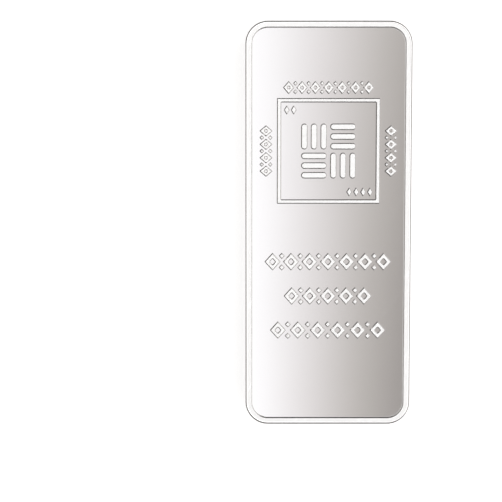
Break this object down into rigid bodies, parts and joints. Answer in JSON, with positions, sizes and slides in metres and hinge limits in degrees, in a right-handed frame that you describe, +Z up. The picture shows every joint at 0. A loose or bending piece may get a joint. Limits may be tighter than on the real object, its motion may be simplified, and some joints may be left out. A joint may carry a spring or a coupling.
{
  "type": "aluminium ingot",
  "caption": "Struck aluminium ingot, a flat bar with rounded corners, raised rims, sunk polished fields and low lozenge ornament, lying on its back.",
  "frame": {"origin": "middle of the back, in the plane of the back rim that the bar lies on", "axes": "+Z up out of the front face, +Y along the bar's length towards its upper end, +X to the right across its width"},
  "size_m": [0.067, 0.1634, 0.017],
  "materials": {
    "aluminium": "polished fields, drawn sides, frosted raised rims and relief"
  },
  "bodies": {
    "root": {"ingot": "aluminium"}
  },
  "joints": []
}
